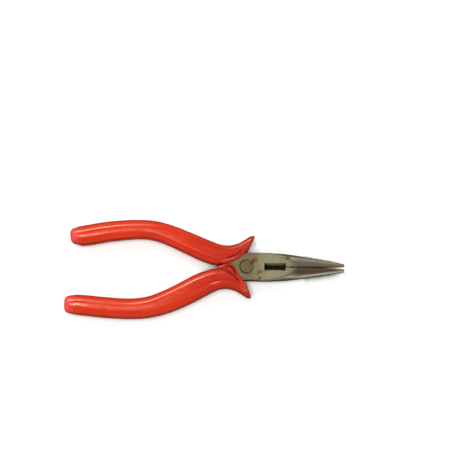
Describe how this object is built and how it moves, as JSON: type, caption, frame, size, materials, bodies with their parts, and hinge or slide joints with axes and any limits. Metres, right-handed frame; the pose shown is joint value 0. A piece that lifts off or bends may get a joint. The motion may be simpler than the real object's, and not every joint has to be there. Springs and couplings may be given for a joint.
{
  "type": "long nose pliers",
  "caption": "Long nose pliers with tapering half-round jaws, a side cutter, a flush pivot rivet and red plastic sleeves with flared guards.",
  "frame": {"origin": "on the pivot axis, at the head's back face", "axes": "+X towards the jaw tips, +Y towards the side of the upper jaw and upper handle, +Z out of the front face along the pivot axis"},
  "size_m": [0.1646, 0.0586, 0.0124],
  "materials": {
    "ground_steel": "ground and lightly tarnished, with small brown stains",
    "rivet_steel": "ground flush with the head",
    "sleeve_plastic": "glossy red-orange vinyl, slightly translucent where it is empty"
  },
  "bodies": {
    "front_body": {"front_half": "ground_steel", "lower_sleeve": "sleeve_plastic", "pivot_rivet": "rivet_steel"},
    "rear_body": {"rear_half": "ground_steel", "upper_sleeve": "sleeve_plastic"}
  },
  "joints": [
    {"name": "pivot_hinge", "type": "hinge", "parent": "front_body", "child": "rear_body", "pos_m": [0, 0, 0.0048], "axis": [0, 0, -1], "range_deg": [-1.2, 40]}
  ]
}
